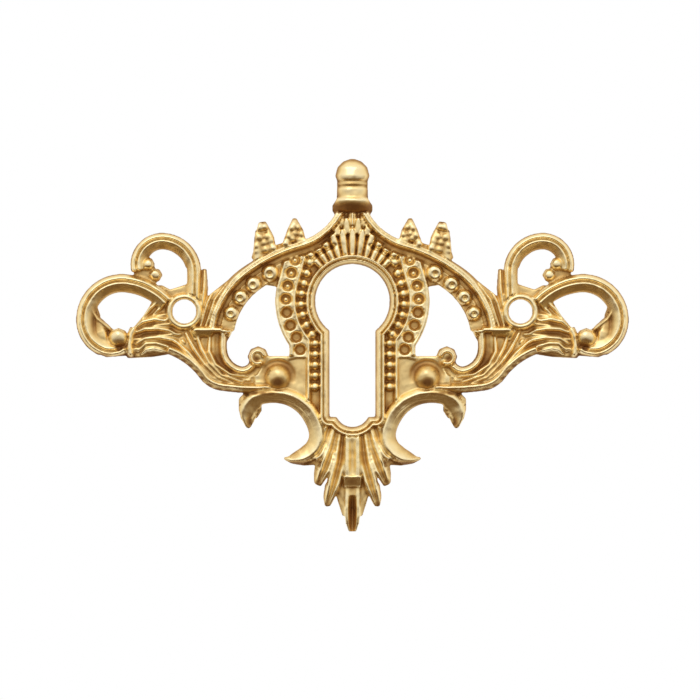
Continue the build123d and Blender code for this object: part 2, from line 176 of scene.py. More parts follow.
def along(points, reach):
    """Part of the grid near a path, with the offset to the left of travel and the share along it there."""
    path = np.array(points, float)
    low = path.min(axis=0) - reach
    high = path.max(axis=0) + reach
    near_rows = slice(*np.searchsorted(rows, [low[1], high[1]]))
    near_columns = slice(*np.searchsorted(columns, [low[0], high[0]]))
    place = (near_rows, near_columns)
    x = grid_x[place]
    z = grid_z[place]
    nearest = np.full(x.shape, np.inf)
    offset = np.full(x.shape, np.inf)
    share = np.zeros(x.shape)
    runs = np.concatenate([[0], np.cumsum(np.hypot(*np.diff(path, axis=0).T))])
    for start, end, run, next_run in zip(path, path[1:], runs, runs[1:]):
        step_x, step_z = end - start
        part = ((x - start[0]) * step_x + (z - start[1]) * step_z) / (step_x**2 + step_z**2)
        part = np.clip(part, 0, 1)
        off_x = x - start[0] - part * step_x
        off_z = z - start[1] - part * step_z
        away = np.hypot(off_x, off_z)
        closer = away < nearest
        nearest = np.where(closer, away, nearest)
        offset = np.where(closer, np.copysign(away, step_x * off_z - step_z * off_x), offset)
        share = np.where(closer, (run + part * (next_run - run)) / runs[-1], share)
    return place, offset, share


def mould(points, section):
    """Carry a moulding along a path in place of what is there. The section is offset and height pairs."""
    offsets, heights = zip(*sorted(section))
    place, offset, share = along(points, max(abs(offsets[0]), abs(offsets[-1])))
    within = (offset > offsets[0]) & (offset < offsets[-1]) & (share > 0) & (share < 1)
    relief[place] = np.where(within, np.interp(offset, offsets, heights), relief[place])


def heaped(low, high, fillet=0.1):
    """The higher of two reliefs, with the corner between them filled a little."""
    return (low + high + np.sqrt((low - high) ** 2 + fillet**2)) / 2


def ball(x, z, radius, top, lean=0.0, flatness=1.0):
    """Set a round bead on the plate. It can lean downwards, and be flatter than half a ball."""
    away = np.hypot(grid_x - x, grid_z - z) / radius
    sphere = radius * flatness
    swell = np.sqrt(np.clip(sphere**2 - (away * radius) ** 2, 0, None))
    dome = top - sphere + swell + lean * (grid_z - z)
    relief[:] = np.where(away < 1, heaped(relief, dome, fillet=0.05), relief)


def dimple(x, z, radius, depth, floor=0.0):
    """Punch a round hollow, with a flat floor over a share of its radius."""
    away = np.clip((np.hypot(grid_x - x, grid_z - z) / radius - floor) / (1 - floor), 0, 1)
    relief[:] -= depth * (1 - away**2) ** 2


BAND_HALF = 0.85
BAND_HEIGHT = 2.05
BEADED_FROM = 1.5
CELL_BEAD_DROP = 0.1
band_line = list(side_row(grow=3.975, low=-6.5, pitch=0.3))
mould(band_line, [(-BAND_HALF, BAND_HEIGHT), (BAND_HALF, BAND_HEIGHT)])
for x, z in side_row(grow=4.0, low=-6.1, pitch=1.78):
    dimple(x, z, radius=0.88, depth=0.85, floor=0.5)
    if z > BEADED_FROM:
        ball(x, z - CELL_BEAD_DROP, radius=0.4, top=1.85)
for x, z in side_row(grow=1.95, low=-11, pitch=1.47):
    ball(x, z, radius=0.62, top=2.0)

# Arch over the keyhole and the shoulder at its end, cast with the plate: a double crest over a broad hollow
# with fine streaks. Two ridges at the shoulder's foot run to the collar, a plain bar across the arm.
ROUND = [(-1, 0), (-0.95, 0.31), (-0.8, 0.6), (-0.5, 0.87), (0, 1), (0.5, 0.87), (0.8, 0.6), (0.95, 0.31),
         (1, 0)]
LAPPED = [(-1, 0.4), (-0.35, 0.96), (-0.1, 1), (0.4, 0.82), (1, 0.6)]
EAVES = [(-1, 0.68), (0.15, 0.97), (0.5, 1), (1, 0.7)]
CREST = [(0.62, 1.5), (0.5, 2.1), (0.36, 2.3), (0.26, 1.8), (0.12, 2.45), (-0.08, 2.5), (-0.25, 2.1),
         (-0.5, 1.2)]
UNDER_CREST = [(-0.4, 1.45), (-0.5, 1.2), (-0.7, 1.05)]
UNDER_CREST_FLOOR = 1.3
STREAK_FADE = 0.2
ARC_STEP = 0.4
FEWEST_STEPS = 4
BARE_COVER = 0.6


def arcs(start, heading, ends):
    """Points along arcs through the ends, each leaving in the direction in which the last one arrives."""
    points = [start]
    for end in ends:
        chord = math.hypot(end[0] - start[0], end[1] - start[1])
        aside = math.degrees(math.atan2(end[1] - start[1], end[0] - start[0])) - heading
        half_turn = (aside + 180) % 360 - 180
        steps = max(FEWEST_STEPS, round(chord / ARC_STEP))
        for number in range(1, steps + 1):
            angle = half_turn * number / steps
            length = chord * math.sin(math.radians(angle)) / math.sin(math.radians(half_turn))
            way = math.radians(heading + angle)
            points.append((start[0] + length * math.cos(way), start[1] + length * math.sin(way)))
        start = end
        heading += 2 * half_turn
    return points


def beside(points, aside):
    """A path that runs beside another one, to the left of travel where aside is positive."""
    path = np.array(points, float)
    ahead = np.gradient(path, axis=0)
    ahead /= np.hypot(ahead[:, 0], ahead[:, 1])[:, None]
    return path + aside * np.stack([-ahead[:, 1], ahead[:, 0]], axis=1)


def stretched(values, share):
    """Values spread evenly along a path, read at each share of it."""
    return np.interp(share, np.linspace(0, 1, len(values)), values)


def widen(points, half_widths, height):
    """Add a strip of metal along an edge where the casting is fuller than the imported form."""
    place, offset, share = along(points, max(half_widths) + STEP)
    added = np.clip((stretched(half_widths, share) - np.abs(offset)) / STEP + 0.5, 0, 1)
    bare = (added > 0) & (outline[place] < BARE_COVER)
    relief[place] = np.where(bare, height, relief[place])
    cover[place] = np.maximum(cover[place], added)


def ridge(points, half_widths, heights, section, cut=False):
    """Lay a tapering ridge along a path, or cut it in place of what is there.

    The section is pairs of a place across the width, from -1 to 1, and the share of the height there.
    """
    place, offset, share = along(points, max(half_widths))
    across = offset / stretched(half_widths, share)
    height = stretched(heights, share) * np.interp(across, *zip(*section), left=0, right=0)
    within = np.abs(across) < 1
    if cut:
        relief[place] = np.where(within & (share > 0), height, relief[place])
    else:
        relief[place] = heaped(relief[place], np.where(within, height, 0))


arch = [(1.4, 13.8)] + arcs((1.6, 13.4), -62, [(7.1, 9.0), (14.8, 5.1), (19.1, -2.2)])
shoulder_strips = [
    (beside(arch[len(arch) // 2:], 0.6), [0.1, 0.3, 0.45, 0.6], 1.4),
    ([(17, 4.2), (18, 3.1), (19, 2), (19.9, 0.6)], [0.1, 0.35, 0.6, 0.6], 1.4),
    ([(10.4, 4.0), (11.7, 4.0)], [0.6, 0.4], 1.3),
    ([(16.5, -1.9), (16.9, -2.9), (17.4, -4)], [0.3, 0.35, 0.25], 1.4),
]
for strip in shoulder_strips:
    widen(*strip)
mould(arch, CREST)
broader_stretches = [(7, 0.8), (10, 1.05), (13, 1.3)]
for start, breadth in broader_stretches:
    mould(arch[start:], UNDER_CREST + [(-breadth, UNDER_CREST_FLOOR)])
streaked = arch[len(arch) // 3:]
streaks = [(-0.75, 1.35), (-1.15, 1.5)]
for aside, height in streaks:
    ridge(beside(streaked, aside), [0.1, 0.16, 0.12], [height - STREAK_FADE, height, height], ROUND)
feet = [
    [(17.2, 3.9), (18.9, 1.6), (19.8, -1.2), (20.2, -2.3)],
    [(18.9, 3.2), (19.9, 1.1), (20.6, -1.3), (20.9, -2.3)],
]
for foot in feet:
    ridge(foot, [0.15, 0.3, 0.32, 0.3], [1.8, 2.0, 2.0, 2.0], LAPPED)
collar = [(17, -2.75), (21.3, -2.75)]
ridge(collar, [0.75, 0.75], [2.6, 2.6], EAVES)

# Plume under the keyhole, cast with the plate: curved hollow leaves on both sides of a twin-ridged stem, and
# a slope at the stem's end above a grooved point. The marks between the leaves were smoothed in the pattern.
HOLLOW = [(-1, 0.6), (-0.75, 1), (-0.55, 0.96), (0, 0.6), (0.55, 0.96), (0.75, 1), (1, 0.6)]
PLUME_TOP = -16
STEM_HALF = 1.15
STEM_END = [-24.0, -22.5]
STEM_END_HEIGHTS = [1.95, 2.95]
stem = [(0.8, -16.4), (0.8, -22.5)]
stem_groove = [(0, -17), (0, -22.4)]
point_groove = [(0, -25.2), (0, -30.6)]


def gouge(points, half_width, depth):
    """Cut a groove along a path, running out at both ends."""
    place, offset, share = along(points, half_width)
    across = np.minimum(np.abs(offset) / half_width, 1)
    ends = np.sin(np.pi * np.clip(share, 0, 1)) ** 0.5
    relief[place] -= depth * ends * (1 - across**2) ** 2


def softened_inside(field, spread):
    """A field blurred over a spread, with what lies outside the outline left out."""
    return softened(field * outline, spread) / np.maximum(softened(outline, spread), LEAST_COVER)


plume_strips = [
    ([(4.6, -20.5), (4.9, -22.2), (5, -23.3)], [0.4, 0.4, 0.25], 1.3),
    ([(3.4, -23.8), (3.6, -25.4), (3.5, -26.4)], [0.35, 0.4, 0.3], 1.3),
    ([(1.6, -24.4), (1.5, -26), (1.2, -27.8)], [0.8, 0.45, 0.2], 1.2),
]
for strip in plume_strips:
    widen(*strip)
leaves = [
    [(2.8, -15), (3.8, -17.8), (4.9, -19.5), (6.4, -20.1)],
    [(1.9, -15.4), (2.7, -18.8), (3.7, -21.4), (4.6, -23.5)],
    [(1.2, -16), (1.7, -20.4), (2.6, -23.8), (3.4, -26.4)],
]
for leaf in leaves:
    ridge(leaf, [0.55, 0.9, 1.0, 0.5], [2.0, 2.2, 2.4, 2.6, 2.5, 1.6], HOLLOW, cut=True)
ridge(stem, [0.5, 0.5], [3.0, 3.0], ROUND)
gouge(stem_groove, half_width=0.5, depth=0.35)
outline = softened(cover, OUTLINE_SPREAD)
relief = np.where(grid_z < PLUME_TOP, softened_inside(relief, spread=0.13), relief)
stem_end = (grid_x < STEM_HALF) & (grid_z > STEM_END[0]) & (grid_z < STEM_END[1])
relief = np.where(stem_end, np.interp(grid_z, STEM_END, STEM_END_HEIGHTS), relief)
gouge(point_groove, half_width=0.7, depth=1.1)

# Scrolls of the ear and the arm, cast with the plate: two loops with a double line, the hook, the rib along
# the arm's lower edge, and the crescent, one stroke that tapers from the claw's tip round to the horn's.
LOOP = [(0.97, 1.2), (0.8, 1.9), (0.5, 2.35), (0.3, 2.3), (0.2, 1.75), (0.1, 1.75), (0, 2.3), (-0.18, 2.4),
        (-0.35, 2.2), (-1.25, 1.45)]
LARGE_LOOP_SCALE = 1.16
HOOK = [(0.95, 1.5), (0.5, 1.3), (0.15, 1.4), (-0.15, 2.35), (-0.35, 2.5), (-0.6, 2.3), (-0.95, 1.3)]
ARM_RIB = [(0.65, 1.75), (0.1, 2.25), (-0.1, 2.45), (-0.3, 2.45), (-0.5, 1.9), (-0.75, 1.4)]
FLAT = [(-1, 1), (1, 1)]
HORN = [(-1, 0.76), (-0.5, 0.99), (-0.4, 1), (1, 0.55)]
EVEN_POINTS = 6

small_loop = arcs((21.8, 1), 94, [(21.65, 5.4), (25.9, 9.8), (29.3, 5.6)])
small_loop_strips = [
    (beside(small_loop[13:-6], -1.0), [0.1, 0.3, 0.3, 0.3], 1.4),
    ([(22.4, 3.15), (23.6, 2.75), (25, 2.3), (26.2, 2.95)], [0.65, 0.65, 0.65, 0.65], 1.5),
]
for strip in small_loop_strips:
    widen(*strip)
mould(small_loop, LOOP)

large_loop = arcs((25.4, 1.2), 47, [(31, 4), (36.7, -1.2), (34.2, -5), (31.4, -4.7)])
large_loop_strips = [
    (beside(large_loop[:-12], -1.15), [0.1, 0.25, 0.25, 0.1], 1.4),
    ([(30.4, -5.6), (31.6, -5.7), (32.6, -5.9)], [0.4, 0.4, 0.3], 1.3),
    ([(35.5, 1.8), (35.4, 0.5), (34.9, -0.6)], [0.2, 0.5, 0.4], 1.4),
]
for strip in large_loop_strips:
    widen(*strip)
mould(large_loop, [(offset * LARGE_LOOP_SCALE, height) for offset, height in LOOP])

arm_floor = [(21.2, -3.9), (20.7, -5.6), (19.7, -7.2), (18, -8.8), (15.6, -9.5)]
ridge(arm_floor, [2.3, 2.1, 1.8, 1.3, 0.6], [1.45, 1.45], FLAT, cut=True)
hook = arcs((18.05, -2.9), -84, [(18.1, -5.3), (15.6, -8.4), (13.2, -7.2)])
mould(hook, HOOK)
arm_rib = arcs((25.2, -5.2), 199, [(20.4, -8.75), (17.9, -10.25), (12.2, -10.6), (10.4, -10.75)])
arm_edge = [(24.5, -5.55), (27, -5.85), (30.6, -6.1)]
widen(arm_edge, [0.2, 0.35, 0.3], 1.3)
mould(arm_rib, ARM_RIB)

crescent = arcs((13, -11.8), 160, [(10.1, -11.4), (4.65, -16.3), (5.5, -19), (9.3, -20.1)])
claw = arcs((13, -11.8), -20, [(14.3, -15.9)])
crescent_strips = [
    (beside(crescent[:32], 0.95), [0.1, 0.25, 0.45, 0.35], 1.3),
    ([(13.2, -12.3), (13.6, -13.9), (13.9, -15), (14.2, -15.7)], [0.8, 0.7, 0.45, 0.3], 1.2),
    ([(14.5, -11.5), (15.15, -12.1), (15.2, -13.4), (15, -14.6)], [0.45, 0.4, 0.35, 0.25], 1.5),
    ([(5.9, -18.2), (6.8, -19), (7.6, -19.4), (8.4, -19.8)], [0.4, 0.45, 0.35, 0.2], 1.3),
    ([(4.9, -20.5), (6.6, -20.7), (8.3, -20.5), (9.2, -20.1)], [0.5, 0.4, 0.35, 0.2], 1.2),
]
for strip in crescent_strips:
    widen(*strip)
claw_to_horn = claw[::-1] + crescent[1:]
crescent_widths = [0.45, 1.1, 1.25] + EVEN_POINTS * [1.15] + [1.05, 0.4]
crescent_heights = [1.3, 2.0, 2.4] + EVEN_POINTS * [2.5] + [2.3, 1.5]
ridge(beside(claw_to_horn, 0.2), crescent_widths, crescent_heights, HORN, cut=True)
inner_line = beside(claw_to_horn[6:-6], 0.5)
ridge(inner_line, [0.1, 0.24, 0.24, 0.24, 0.1], [1.6, 2.05, 2.15, 2.05, 1.6], ROUND)

# Reeds of the arm and leaf of the ear, cast with the plate: four reeds sweep from the collar under the hook,
# and lapped lobes with small leaves fill the ear between the screw's hole and the large loop's bead.
CUSHION = [(-1, 0.5), (-0.85, 0.8), (-0.5, 0.97), (0.5, 0.97), (0.85, 0.8), (1, 0.5)]
KEEL = [(-1, 0.55), (0, 1), (1, 0.55)]
reeds = [
    [(19.5, -3.2), (19.6, -5.5), (18.7, -7.3), (16.7, -8.6), (14.4, -8.9)],
    [(21.3, -3), (20.7, -5), (19.6, -7), (17.9, -8.7), (15, -9.6)],
    [(22.8, -2.9), (21.6, -5.2), (20.2, -7.2), (18.4, -9), (16, -9.9)],
    [(24.2, -4), (22.4, -5.7), (20.9, -7.4), (19.2, -9), (17.4, -9.9)],
]
for reed in reeds:
    ridge(reed, [0.3, 0.48, 0.5, 0.45, 0.25], [2.0, 2.2, 2.25, 2.2, 1.9], ROUND)
lobes = [
    [(24.6, -0.6), (25.7, -1.2), (27.1, -0.95), (28.7, -1.3), (29.8, -2.3)],
    [(24.2, -3), (25.2, -2.5), (26.6, -2.25), (28.4, -2.3), (29.8, -2.9)],
    [(23.4, -4.6), (24.6, -3.8), (26.4, -3.45), (28.4, -3.6), (29.6, -4.4)],
    [(24.6, -5.1), (25.6, -4.6), (26.8, -4.25), (28.2, -4.3), (29.3, -5.3)],
    [(25.4, -5.5), (26.3, -5.15), (27.2, -4.95), (28.2, -5.15), (28.8, -5.7)],
]
for lobe in lobes:
    ridge(lobe, [0.3, 0.6, 0.7, 0.65, 0.4], [1.9, 2.2, 2.35, 2.25, 1.9], LAPPED)
small_leaves = [
    (arcs((29.9, -2.3), -60, [(30.3, -5.9)]), [0.5, 0.5], [2.4, 2.4], ROUND),
    ([(35.7, 0.4), (34.9, -1), (33.2, -2.4)], [0.3, 0.45, 0.3], [1.8, 2.0, 1.7], ROUND),
    ([(34.8, -1.4), (34.5, -2.7), (34, -4.2)], [0.5, 0.95, 0.7], [1.8, 2.0, 1.8], CUSHION),
    ([(20.6, 0.8), (20.3, 3), (20.25, 5.6)], [0.6, 0.5, 0.25], [1.9, 1.9, 1.5], KEEL),
    ([(26.6, 1.3), (27.6, 0.5), (28.5, -0.6), (29.6, -1.9)], [0.3, 0.4, 0.4, 0.3],
     [1.8, 2.0, 2.0, 1.8], ROUND),
    ([(25.6, 0.9), (26.6, 0.2), (27.4, -0.6)], [0.25, 0.4, 0.25], [1.7, 1.9, 1.7], ROUND),
]
for small_leaf in small_leaves:
    ridge(*small_leaf)

# Rim of the keyhole, cast with the plate: a rolled edge with a fine groove, bevelled towards the hole where
# the key rubs it. It runs round the head, down the slot and under the bow at the slot's foot.
RIM = [(-0.4, 1.15), (0, 1.2), (0.6, 2.3), (0.7, 1.5), (0.8, 1.5), (0.9, 2.4), (1.08, 2.8), (1.2, 2.7),
       (1.32, 1.3)]
HEAD_TOP = HEAD_Z + HEAD_RADIUS
SLOT_TOP = -2.61
SLOT_FOOT = -14.4
BOW_HALF = 2.18
BOW_FOOT = -15.8
BOW_HEADING = -114.6
PAST_MIDDLE = -0.5
rim_path = [(PAST_MIDDLE, HEAD_TOP)] + arcs((0, HEAD_TOP), 0, [(SLOT_HALF, SLOT_TOP)])
rim_path += [(SLOT_HALF, SLOT_FOOT), (BOW_HALF, SLOT_FOOT)]
rim_path += arcs((BOW_HALF, SLOT_FOOT), BOW_HEADING, [(0, BOW_FOOT)])[1:] + [(PAST_MIDDLE, BOW_FOOT)]
mould(rim_path, RIM)

# Sprigs that stand on the arch, cast with the plate: two tufts of small knobs on a rounded ground. The knobs
# are modelled one by one in the pattern, so no two are quite alike.
KNOB_STRAY = 0.12
KNOB_RADII = (0.4, 0.65)
KNOB_TOPS = (2.1, 2.4)
inner_tuft = [(6.3, 9.9), (7.3, 9.8), (8.3, 9.6), (9.2, 9.4), (6.9, 10.6), (7.9, 10.5), (8.7, 10.3),
              (7.5, 11.4), (8.3, 11.3), (7.9, 12.1)]
outer_tuft = [(11, 8.7), (12, 8.5), (13, 8.2), (11.2, 9.6), (12.2, 9.4), (13.1, 9.2), (11.6, 10.5),
              (12.6, 10.4), (13.2, 10.3), (12.1, 11.4), (12.9, 11.3)]
outer_edge = [(13.05, 10.9), (13.15, 9.5), (13.25, 8.2), (13.5, 7.4)]
between_tufts = [(9.4, 8.9), (10.7, 8.5)]
inner_ground = [(7.8, 10.4), (7.9, 12.2)]
outer_ground = [(12.5, 8.8), (12.6, 11.5)]
widen(outer_edge, [0.25, 0.3, 0.3, 0.3], 1.7)
widen(between_tufts, [0.5, 0.5], 1.7)
ridge(inner_ground, [1.1, 0.4], [1.9, 1.9], CUSHION)
ridge(outer_ground, [1.3, 0.7], [1.9, 1.9], CUSHION)
chance = np.random.default_rng(3)
for x, z in inner_tuft + outer_tuft:
    x += chance.normal(0, KNOB_STRAY)
    z += chance.normal(0, KNOB_STRAY)
    ball(x, z, radius=chance.uniform(*KNOB_RADII), top=chance.uniform(*KNOB_TOPS))

# Studs, beads and rosettes, cast with the plate: the arm's boss in a shallow moat, the hook's curled end, the
# ear's beads, and a row of four rosettes with punched middles under the shoulder's crest.
BOSS = (10.2, -9)
HOOK_END = (12.9, -6.2)
EAR_BEAD = (32, -3.6)
UNDER_EAR_BEAD = (31.9, -5.0)
AT_CROWN = 0.001
ROSETTES = 4
ROSETTE_SIDE = -1.9
ROSETTE_START = 13.2
ROSETTE_END = 2.8
ROSETTE_RADII = (1.15, 1.0)
ROSETTE_TOP = 2.4
PUNCH_SHIFT = 0.1
ROSETTE_BED = [(-0.85, 1.3), (0.6, 1.3)]


def stud(x, z, radius, top, drop, crown):
    """Cut a stud whose crown lies above its middle, so that most of its face looks down."""
    aside = grid_x - x
    above = grid_z - z - crown
    away = np.maximum(np.hypot(aside, above), AT_CROWN)
    lift = crown * above / away
    share = away / (np.sqrt(lift**2 + radius**2 - crown**2) - lift)
    relief[:] = np.where(share < 1, top - drop * share**2, relief)


def oval_arc(middle_x, middle_z, half_width, half_height, angles):
    """Points round part of an oval, at angles in degrees."""
    ways = [math.radians(angle) for angle in angles]
    return [(middle_x + half_width * math.cos(way), middle_z + half_height * math.sin(way)) for way in ways]


beside_boss = [(7.9, -6.2), (8.6, -6.35)]
ridge(beside_boss, [0.4, 0.4], [1.95, 1.95], CUSHION)
moat = oval_arc(10.2, -8.9, 2.1, 2.0, range(205, -30, -10))
gouge(moat, half_width=0.55, depth=0.28)
stud(*BOSS, radius=1.7, top=3.1, drop=1.3, crown=0.4)
stud(*HOOK_END, radius=1.4, top=2.3, drop=0.7, crown=0.3)
curl = oval_arc(12.95, -6.25, 0.85, 0.85, range(-120, 180, 15))
ridge(curl, [0.5, 0.45], [2.7, 2.7], ROUND)
stud(*EAR_BEAD, radius=1.4, top=2.6, drop=1.0, crown=0.3)
loop_beads = [(27.95, 6.5, 0.8, 2.3), (26.95, 5, 0.85, 2.0)]
for x, z, radius, top in loop_beads:
    ball(x, z, radius, top)
dimple(*UNDER_EAR_BEAD, radius=0.6, depth=0.35)
arch_runs = np.concatenate([[0], np.cumsum(np.hypot(*np.diff(arch, axis=0).T))])
rosette_line = beside(arch, ROSETTE_SIDE)
mould(rosette_line[len(arch) // 2:], ROSETTE_BED)
rosette_runs = np.linspace(ROSETTE_START, arch_runs[-1] - ROSETTE_END, ROSETTES)
for run, radius in zip(rosette_runs, np.linspace(*ROSETTE_RADII, ROSETTES)):
    x, z = [np.interp(run, arch_runs, rosette_line[:, axis]) for axis in (0, 1)]
    ball(x, z, radius, ROSETTE_TOP, lean=0.1, flatness=1.1)
    dimple(x + PUNCH_SHIFT, z - PUNCH_SHIFT, radius=radius / 2, depth=0.5)

# Ring round each screw's hole: a plain half-round bead, cast with the plate, for the screw's head to bear on.
# It is laid last on the ear, so that it cuts off the ends of the leaves and of the loops.
SCREW_X = 23.0
RING_RADIUS = 2.05
RING_HALF = 0.45
RING_FOOT = 1.5
RING_RISE = 0.7
across_ring = np.abs(np.hypot(grid_x - SCREW_X, grid_z) - RING_RADIUS) / RING_HALF
ring = RING_FOOT + RING_RISE * np.sqrt(np.clip(1 - across_ring**2, 0, 1))
relief = np.where(across_ring < 1, ring, relief)

# Finial on the arch's peak, cast with the plate: half of a turned form with a flared skirt, a drum, two fine
# grooves and a dome. Under the skirt it falls back to the plate, and that side faces down and looks dark.
turned = [(13.5, 2.6), (13.9, 2.75), (14.9, 2.8), (15.3, 2.75), (15.7, 2.2), (16.9, 2.2), (17.05, 1.95),
          (17.2, 1.95), (17.35, 2.2), (17.6, 2.2), (17.72, 1.98), (17.85, 1.98), (18, 2.25), (18.6, 2.35),
          (19.7, 2.05), (20.5, 1.25), (20.9, 0.24)]
FINIAL_FOOT = turned[0][0]
SKIRT_LIP = 15.3
SKIRT_SHARE = 0.62
FINIAL_EDGE = 0.8
waist = [(1.8, 16.1), (1.75, 16.9), (1.8, 17.7)]
widen(waist, [0.3, 0.35, 0.3], 1.0)
turned_radius = softened(np.interp(grid_z, *zip(*turned), left=0, right=0), spread=0.1)
half_round = np.sqrt(np.clip(turned_radius**2 - grid_x**2, 0, None))
half_round *= np.interp(grid_z, [FINIAL_FOOT, SKIRT_LIP], [SKIRT_SHARE, 1])
half_round = np.where(grid_z > FINIAL_FOOT, half_round, 0)
relief = np.where(half_round > 0, np.maximum(half_round, FINIAL_EDGE), relief)

# Painted shade: dark brown spots put where shade falls, under the stem's end, the studs, the finial's skirt and
# the lower edges, in its grooves, among the sprigs' knobs, at the tips and under the arm's rib, and broad soft
# darker patches over the platform, the arm and the ear. A spot is a place, half a width, half a height and an
# amount.
shade_and_patch_spots = [
    (0, -23.2, 1.6, 1.1, 0.7), (10.2, -9.6, 1.5, 1.2, 1.1), (9.8, -8.4, 3.6, 2.6, 0.45),
    (13.2, -6.5, 0.9, 0.9, 0.7), (31.7, -4.7, 1.1, 0.9, 0.8), (0, 14.3, 4.2, 1.2, 1.0),
    (0, 17.4, 2.6, 0.6, 0.5), (14.2, -15.3, 0.7, 1.1, 0.4), (4.7, -23.5, 0.7, 0.8, 0.5),
    (3.5, -26.5, 0.7, 0.8, 0.5), (7.2, -20.7, 2.8, 0.6, 0.7), (10, -12.4, 3.4, 0.9, 0.35),
    (7.8, 10.6, 2.0, 2.2, 0.25), (12.3, 9.8, 2.0, 2.6, 0.25), (27, -6, 2.4, 0.45, 0.6),
    (31, -6.1, 2.0, 0.45, 0.6), (34, -5.9, 1.6, 0.5, 0.5), (18.6, -7.2, 5.5, 4.4, 0.25),
    (27, -3, 5.0, 3.4, 0.18), (35, -1.6, 1.5, 3.4, 0.4),
]
RIB_SPOT_STEP = 3
# Painted shade in a row of spots under the arm's lower rib.
painted_shade_under_arm_rib = [(x, z, 1.2, 0.45, 0.85) for x, z in beside(arm_rib, 0.6)[::RIB_SPOT_STEP]]
painted_shade_and_patches = np.zeros(relief.shape)
for x, z, half_width, half_height, amount in shade_and_patch_spots + painted_shade_under_arm_rib:
    away = np.minimum(np.hypot((grid_x - x) / half_width, (grid_z - z) / half_height), 1)
    painted_shade_and_patches = np.maximum(painted_shade_and_patches, amount * (1 - away**2) ** 2)

# Whole plate, as it comes from the sand and the wheel: polishing has rounded its edges, its left half mirrors
# the right one, and the sand leaves it faintly uneven. How far a place lies below its surroundings is kept.
EDGE_SPREAD = 0.22
EDGE_COVERS = [0.5, 0.95]
EDGE_FALL = 0.18
UNEVENNESS = [(0.07, 0.2), (0.3, 0.5), (0.25, 1.2)]
THINNEST = 0.3
MIDDLE_HEIGHT = 2
LOW_SHARE = 0.12


def both_halves(half):
    """The whole plate's field, from that of its right half."""
    return np.concatenate([half[:, :0:-1], half], axis=1)


outline = softened(cover, OUTLINE_SPREAD)
relief = softened_inside(relief, spread=0.06)
inset = np.interp(softened(cover, EDGE_SPREAD), EDGE_COVERS, [0, 1])
relief *= 1 - EDGE_FALL + EDGE_FALL * np.sqrt(1 - (1 - inset) ** 2)
relief = both_halves(relief)
outline = both_halves(outline)
painted_shade_and_patches = both_halves(painted_shade_and_patches)
sand = np.random.default_rng(7).normal(size=relief.shape)
relief += sum(amount * softened(sand, spread) for amount, spread in UNEVENNESS)
relief = np.clip(relief, THINNEST, HIGHEST)
hollow = softened_inside(relief, spread=0.5) - relief
# The painted shade and the dark patches are added to the hollows' measure here, so that they take its brown
# colours.
hollow += LOW_SHARE * (MIDDLE_HEIGHT - relief) + painted_shade_and_patches

# Skin of the plate: whole squares inside the outline and cut squares along it make the face, and walls with a
# narrow upper band go straight down from it to the back, as the pattern's sides draw out of the sand.
LEVEL = 0.5
NEAREST_CORNER = 0.05
WIDEST = packed_box[1][0] / MM
EDGE_BAND = 0.18
BAND_HOLLOW = 0.1
FOOT_HOLLOW = 0.25
node_x, node_z = np.meshgrid(np.concatenate([-columns[:0:-1], columns]), rows)
inside = outline >= LEVEL
number_of = np.full(inside.shape, -1)
number_of[inside] = np.arange(inside.sum())
vertices = np.stack([node_x[inside], -relief[inside], node_z[inside]], axis=1).tolist()
hollows = hollow[inside].tolist()
square_corners = [(slice(None, -1), slice(None, -1)), (slice(None, -1), slice(1, None)),
                  (slice(1, None), slice(1, None)), (slice(1, None), slice(None, -1))]
whole = np.all([inside[corner] for corner in square_corners], axis=0)
touched = np.any([inside[corner] for corner in square_corners], axis=0)
faces = np.stack([number_of[corner][whole] for corner in square_corners], axis=1).tolist()
crossings = {}
mid_of = {}
back_of = {}
foot_edges = []


def crossing(one, other):
    """Vertex where the outline crosses between two neighbouring places, with those below it on the wall."""
    key = (min(one, other), max(one, other))
    if key not in crossings:
        share = (LEVEL - outline[one]) / (outline[other] - outline[one])
        share = min(max(share, NEAREST_CORNER), 1 - NEAREST_CORNER)
        x = np.clip(node_x[one] + share * (node_x[other] - node_x[one]), -WIDEST, WIDEST)
        z = node_z[one] + share * (node_z[other] - node_z[one])
        height = relief[one] + share * (relief[other] - relief[one])
        crossings[key] = len(vertices)
        mid_of[len(vertices)] = len(vertices) + 1
        back_of[len(vertices)] = len(vertices) + 2
        vertices.extend([(x, -height, z), (x, -height + EDGE_BAND, z), (x, 0, z)])
        hollows.extend([hollow[one], BAND_HOLLOW, FOOT_HOLLOW])
    return crossings[key]


for row, column in np.argwhere(touched & ~whole):
    corners = [(row, column), (row, column + 1), (row + 1, column + 1), (row + 1, column)]
    face = []
    for corner, following in zip(corners, corners[1:] + corners[:1]):
        if inside[corner]:
            face.append(int(number_of[corner]))
        if inside[corner] != inside[following]:
            face.append(crossing(corner, following) if inside[corner] else crossing(following, corner))
    faces.append(face)
    for this, following in zip(face, face[1:] + face[:1]):
        if this in mid_of and following in mid_of:
            faces.append([following, this, mid_of[this], mid_of[following]])
            faces.append([mid_of[following], mid_of[this], back_of[this], back_of[following]])
            foot_edges.append((back_of[this], back_of[following]))

# Upper edge of the walls, evened out along the outline by taking each place towards its two neighbours, as a
# file leaves it when it is run round the casting's edge.
EVENINGS = 20
tops = list(back_of)
order = {back_of[top]: number for number, top in enumerate(tops)}
next_top = np.zeros(len(tops), int)
for this, following in foot_edges:
    next_top[order[this]] = order[following]
last_top = np.argsort(next_top)
filed = np.array([(vertices[top][1], hollows[top]) for top in tops])
for evening in range(EVENINGS):
    filed = filed / 2 + (filed[next_top] + filed[last_top]) / 4
for top, (y, tone) in zip(tops, filed.tolist()):
    x = vertices[top][0]
    z = vertices[top][2]
    vertices[top] = (x, y, z)
    vertices[mid_of[top]] = (x, y + EDGE_BAND, z)
    hollows[top] = tone

